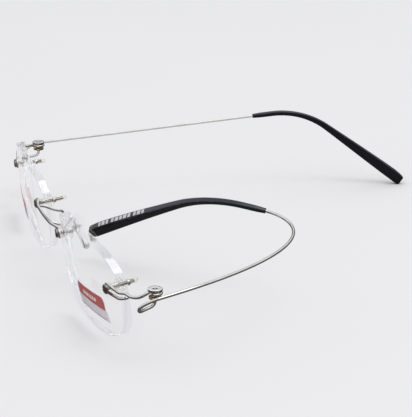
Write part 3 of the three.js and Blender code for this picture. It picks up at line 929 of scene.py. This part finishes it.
def smoothstep(x, low, high):
    t = min(1, max(0, (x - low) / (high - low)))
    return t * t * (3 - 2 * t)


def drawn_in(share, start):
    """How far a rounded end has drawn in, from 0 where the rounding starts to 1 at the end."""
    along = min(1, max(0, (share - start) / (1 - start)))
    return 1 - math.sqrt(1 - along**2)


def tip_section(share):
    """The tip's reach above and below its centre line and its half-thickness, at a share of its length."""
    swell = smoothstep(share, TIP_SWELL_START, 1)
    collar = smoothstep(share, TIP_COLLAR_START, TIP_COLLAR_END)
    size = TIP_COLLAR_SIZE + (1 - TIP_COLLAR_SIZE) * collar
    high = (TIP_HIGH[0] + (TIP_HIGH[1] - TIP_HIGH[0]) * swell) * size
    thick = (TIP_THICK[0] + (TIP_THICK[1] - TIP_THICK[0]) * swell) * size
    above = high * (1 - TIP_UPPER_DROP * drawn_in(share, TIP_UPPER_START))
    end = 1 - TIP_LOWER_DROP * drawn_in(share, TIP_LOWER_START)
    return above, high * end, thick * end


def section_ring(place, share, side, sides=48):
    point, tangent, up = place
    above, below, thick = tip_section(share)
    boxy = smoothstep(share, 0.0, TIP_BOXY_SHARE)
    power = TIP_ROUND_POWER + (TIP_BOXY_POWER - TIP_ROUND_POWER) * boxy
    lateral = tangent.cross(up)
    ring = []
    for j in range(sides):
        a = 2 * math.pi * (j + 0.5) / sides
        c, s = math.cos(a), math.sin(a)
        across = thick * math.copysign(abs(c) ** power, c)
        upward = (above if s > 0 else -below) * abs(s) ** power
        ring.append(to_world(mirror(point + lateral * across + up * upward, side)))
    return ring


PRINT_START, PRINT_HALF_WIDTH = 0.93, 0.66
PRINT_GROUPS = [(1.0, 3), (1.1, 5), (1.05, 3)]  # the mean width and number of blocks in each group
PRINT_SPREAD = (0.85, 1.15)  # blocks are narrow and wide in turn
PRINT_GAP, PRINT_GROUP_GAP = 0.38, 0.7
PRINT_BELOW, PRINT_ABOVE = 0.08, 0.015  # reach of a block below and above the tip's face


def print_block(name, places, start, end):
    """A small pale block, thin as ink, on the tip's upper face between two shares of its length."""
    verts, steps = [], len(places) - 1
    for share in (start, end):
        point, tangent, up = places[round(share * steps)]
        above, _, _ = tip_section(share)
        lateral = tangent.cross(up)
        for across in (-PRINT_HALF_WIDTH, PRINT_HALF_WIDTH):
            for reach in (above - PRINT_BELOW, above + PRINT_ABOVE):
                verts.append(to_world(point + up * reach + lateral * across))
    faces = [(0, 1, 3, 2), (4, 6, 7, 5), (0, 4, 5, 1), (2, 3, 7, 6), (0, 2, 6, 4), (1, 5, 7, 3)]
    return face_outward(make_object(name, verts, faces, TIP_PRINT))


def tip_print(name, places):
    """A row of plain blocks in three groups, where such a tip has its printed marking."""
    blocks, share = [], PRINT_START
    for width, count in PRINT_GROUPS:
        for k in range(count):
            step = width * PRINT_SPREAD[k % 2] / TIP_LENGTH
            blocks.append(print_block(f"{name}_{len(blocks)}", places, share - step, share))
            share -= step + PRINT_GAP / TIP_LENGTH
        share -= PRINT_GROUP_GAP / TIP_LENGTH
    return join(name, blocks)


TIP_STEPS, FINE_TIP_STEPS = 300, 3000


def tip(name, start, side, body, node):
    """A tip with a section at every third step, and at every one near its end."""
    places = tip_line(start, TIP_STEPS)
    wanted = [i for i in range(TIP_STEPS + 1) if i % 3 == 0 or i > 0.97 * TIP_STEPS]
    rings = [section_ring(places[i], i / TIP_STEPS, side) for i in wanted]
    piece = skin(name, rings, TIP, sharp=50)
    return add(piece, body, "tip_plastic", node)


def hook_route(side, direction):
    """Points of the wire from the hinge's bore, round the hook and on into the straight wire."""
    h = HINGE
    points = [
        (h.x, h.y, h.z - 0.1),
        (h.x, h.y, h.z - SPOOL_HEIGHT - 0.5),
        (h.x + 0.1, h.y - 0.5, 15.2),
        (h.x + 0.8, h.y - 2.9, 14.5),
        (h.x + 1.6, h.y - 4.3, 14.5),
        (h.x + 2.2, h.y - 4.7, 15.2),
        (h.x + 2.5, h.y - 4.1, 16.1),
        (h.x + 3.1, h.y - 2.1, 17.3),
        ROOT,
        ROOT + direction * 1.2,
    ]
    return [mirror(Vector(p), side) for p in points]


def right_temple():
    _, direction, up = start_of_wire(OPEN_ANGLE, RISE_ANGLE)
    hook = list(spline(hook_route(-1, direction)))
    rest = [mirror(ROOT + direction * s, -1) for s in np.arange(1.3, WIRE_LENGTH - 0.1, 0.5)]
    route = hook + [np.array(p) for p in rest]
    # Painted light: this wire is a paler copy of the left temple's metal.
    piece = tube("right_temple_bent_wire", route, PAINTED_LIGHT_WIRE, round_end=False)
    add(piece, "right_temple", "wire", "right_temple_wire")
    end = (ROOT + direction * WIRE_LENGTH, direction, up)
    tip("right_temple_sleeve_tip", end, -1, "right_temple", "right_temple_tip")


FLEX_STEPS = 1516
FLEX_BODIES = ["left_temple"] + [f"left_flex_{k}" for k in range(1, 7)]


def stretch_middles():
    """The flexed line's steps at the middle of each length of wire between two flexure points."""
    knots = [0.0, *FLEX_STATIONS, WIRE_LENGTH]
    return [round((a + b) / 2 / WIRE_LENGTH * FLEX_STEPS) for a, b in zip(knots, knots[1:])]


def springy_wire(line, cuts):
    """A piece over each flexure point, from the middle of one length to that of the next."""
    for k, (a, b) in enumerate(zip(cuts, cuts[1:])):
        stretch = line[a : b + 1 : 2]
        if (b - a) % 2:
            stretch.append(line[b])
        name = f"left_temple_springy_wire_{k + 2}"
        piece = tube(name, stretch, STEEL, round_start=False, round_end=False)
        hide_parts(f"left_temple_wire_{k + 2}")
        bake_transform(piece)


def left_temple():
    places = flexed_wire(FLEX_STEPS)
    line = [np.array(p[0]) for p in places]
    cuts = stretch_middles()
    _, direction, _ = places[0]
    hook = list(spline(hook_route(1, direction)[:-1]))[:-1]
    first = tube("left_temple_hook_wire", hook + line[: cuts[0] + 1 : 4], STEEL, round_end=False)
    add(first, "left_temple", "wire", "left_temple_wire_1")
    springy_wire(line, cuts)
    last = tube("left_temple_wire_end", line[cuts[-1] :: 2], STEEL, round_start=False, round_end=False)
    add(last, FLEX_BODIES[-1], "wire")
    tip("left_temple_sleeve_tip", places[-1], 1, FLEX_BODIES[-1], "left_temple_tip")
    marks = tip_print("left_temple_tip_print", tip_line(places[-1], FINE_TIP_STEPS))
    add(marks, FLEX_BODIES[-1], "label_grey")


# ---------------------------------------------------------------- nose pads
PAD = Vector((7.6, 9.0, 10.6))
PAD_WIDE, PAD_TALL, PAD_THICK = 3.5, 4.6, 1.4
PAD_SPLAY, PAD_FLARE = 0.5, -0.22  # radians
PAD_PROFILE = [[0, -0.15], [0.55, -0.1], [0.95, 0.15], [1.0, 0.4], [0.9, 0.75], [0.5, 0.97], [0, 1.05]]
PAD_MOUNT = plug_profile(0.85, -1.35, -0.5)
PAD_ARM_WIRE = 0.34
PAD_ARM = [
    (7.5, -0.92, 18.15),
    (7.65, 0.8, 17.6),
    (7.8, 2.8, 16.6),
    (8.2, 4.6, 15.9),
    (9.2, 5.9, 15.2),
    (10.2, 6.6, 13.6),
    (10.5, 7.2, 12.0),
    (10.1, 7.65, 10.9),
    (8.95, 8.27, 10.6),
]


def pad_matrix(side):
    turn = Matrix.Rotation(side * (math.pi / 2 - PAD_SPLAY), 4, "Z")
    flare = Matrix.Rotation(side * PAD_FLARE, 4, "Y")
    return Matrix.Translation(mirror(PAD, side)) @ turn @ flare


def nose_pad(side):
    key = side_name(side)
    route = spline([(side * x, y, z) for x, y, z in PAD_ARM])
    arm = tube(f"{key}_pad_arm_wire", route, STEEL, radius=PAD_ARM_WIRE)
    add(arm, "front", "wire", f"{key}_pad_arm")
    matrix = pad_matrix(side)
    scale = (PAD_WIDE, PAD_THICK, PAD_TALL)
    pad = lathe(f"{key}_pad_soft", PAD_PROFILE, matrix, PAD_CLEAR, 0.2, 64, scale)
    add(pad, f"{key}_nose_pad", "clear_plastic", f"{key}_nose_pad")
    mount = lathe(f"{key}_pad_mount_box", PAD_MOUNT, matrix, NUT_STEEL, 0.15)
    add(mount, "front", "dark_steel", f"{key}_pad_mount")


# ---------------------------------------------------------------- assembly
for side in (1, -1):
    add(lens_body(side), "front", "lens", f"{side_name(side)}_lens")
    labels(side)
    screw_set(side, "temporal", TEMPORAL_HOLE, TEMPORAL_NUT_DEPTH)
    screw_set(side, "nasal", NASAL_HOLE, 0 if side > 0 else NASAL_NUT_DEPTH)
    end_piece(side)
    hinge(side)
    nose_pad(side)
bridge()
right_temple()
left_temple()


# ---------------------------------------------------------------- stage, light and camera
FLOOR_HALF = 4.0  # metres
HORIZON = (0.18, 0.45)  # heights, up to 1 overhead, where the dark room ends and the light is full
LAMP_EDGE = (0.9, 0.94)
SOFTBOX_PLACE = Vector((0.40, 0.30, 1.10))  # metres
SOFTBOX_SIZE = 0.5
SOFTBOX_POWER = 2.0
CAMERA_PLACE = (415.44, -87.66, 160.88)  # working millimetres, as the target's
CAMERA_TARGET = (11.04, 42.43, 18.89)
CAMERA_LENS, SENSOR_WIDTH = 138.28, 36
CAMERA_ROLL = math.radians(0.18)


def mirrored_ray(tree):
    """1 for rays that brushed metal or satin plastic has reflected, 0 for all others."""
    path = tree.nodes.new("ShaderNodeLightPath")
    value = path.outputs["Is Glossy Ray"]
    for other in ("Is Transmission Ray", "Is Singular Ray"):
        less = tree.nodes.new("ShaderNodeMath")
        less.operation = "SUBTRACT"
        less.use_clamp = True
        tree.links.new(value, less.inputs[0])
        tree.links.new(path.outputs[other], less.inputs[1])
        value = less.outputs["Value"]
    return value


def mix_colours(tree, factor, first, second):
    node = tree.nodes.new("ShaderNodeMix")
    node.data_type = "RGBA"
    tree.links.new(factor, node.inputs["Factor"])
    for socket, colour in (("A", first), ("B", second)):
        if isinstance(colour, tuple):
            node.inputs[socket].default_value = (*colour, 1)
        else:
            tree.links.new(colour, node.inputs[socket])
    return node.outputs["Result"]


def make_floor():
    """Pale paper, which polished metal reflects as if it were dark, as it does beside a dark room."""
    mesh = bpy.data.meshes.new("floor")
    corners = [(-1, -1), (1, -1), (1, 1), (-1, 1)]
    mesh.from_pydata([(x * FLOOR_HALF, y * FLOOR_HALF, 0) for x, y in corners], [], [(0, 1, 2, 3)])
    floor = bpy.data.objects.new("floor", mesh)
    bpy.context.scene.collection.objects.link(floor)
    material, tree, shader = new_material("floor_paper")
    grain = noise(tree, scale=8, detail=3)
    paper = two_tone(tree, grain, (0.797, 0.797, 0.805), (0.803, 0.803, 0.811))
    colour = mix_colours(tree, mirrored_ray(tree), paper, (0.13, 0.125, 0.11))
    tree.links.new(colour, shader.inputs["Base Color"])
    shader.inputs["Roughness"].default_value = 0.9
    shader.inputs["Specular IOR Level"].default_value = 0.0
    mesh.materials.append(material)


def make_world():
    """Even white light, with two things that only reflections see.

    Metal reflects a dark horizon, and clear plastic reflects a bright lamp overhead.
    """
    world = bpy.data.worlds.new("studio")
    bpy.context.scene.world = world
    world.use_nodes = True
    tree = world.node_tree
    background = tree.nodes["Background"]
    place = tree.nodes.new("ShaderNodeTexCoord")
    split = tree.nodes.new("ShaderNodeSeparateXYZ")
    tree.links.new(place.outputs["Generated"], split.inputs["Vector"])
    room = two_tone(tree, split.outputs["Z"], (0.04, 0.04, 0.04), (1.08, 1.08, 1.11), *HORIZON)
    lamp = two_tone(tree, split.outputs["Z"], (1.0, 1.0, 1.01), (6.5, 6.5, 6.6), *LAMP_EDGE)
    path = tree.nodes.new("ShaderNodeLightPath")
    sky = mix_colours(tree, path.outputs["Is Singular Ray"], (1.0, 1.0, 1.01), lamp)
    colour = mix_colours(tree, mirrored_ray(tree), sky, room)
    tree.links.new(colour, background.inputs["Color"])
    background.inputs["Strength"].default_value = 0.93


def make_softbox():
    data = bpy.data.lights.new("softbox", "AREA")
    data.shape = "RECTANGLE"
    data.size, data.size_y = SOFTBOX_SIZE, SOFTBOX_SIZE
    data.energy = SOFTBOX_POWER
    light = bpy.data.objects.new("softbox", data)
    light.location = SOFTBOX_PLACE
    light.rotation_euler = (-SOFTBOX_PLACE).to_track_quat("-Z", "Y").to_euler()
    bpy.context.scene.collection.objects.link(light)


def make_camera():
    place = to_world(CAMERA_PLACE)
    data = bpy.data.cameras.new("camera")
    data.sensor_width = SENSOR_WIDTH
    data.lens = CAMERA_LENS
    data.clip_start = 0.01
    camera = bpy.data.objects.new("camera", data)
    turn = (to_world(CAMERA_TARGET) - place).to_track_quat("-Z", "Y").to_matrix().to_4x4()
    roll = Matrix.Rotation(CAMERA_ROLL, 4, "Z")
    camera.matrix_world = Matrix.Translation(place) @ turn @ roll
    bpy.context.scene.collection.objects.link(camera)
    bpy.context.scene.camera = camera


make_floor()
make_world()
make_softbox()
make_camera()
bpy.context.scene.view_settings.view_transform = "Standard"
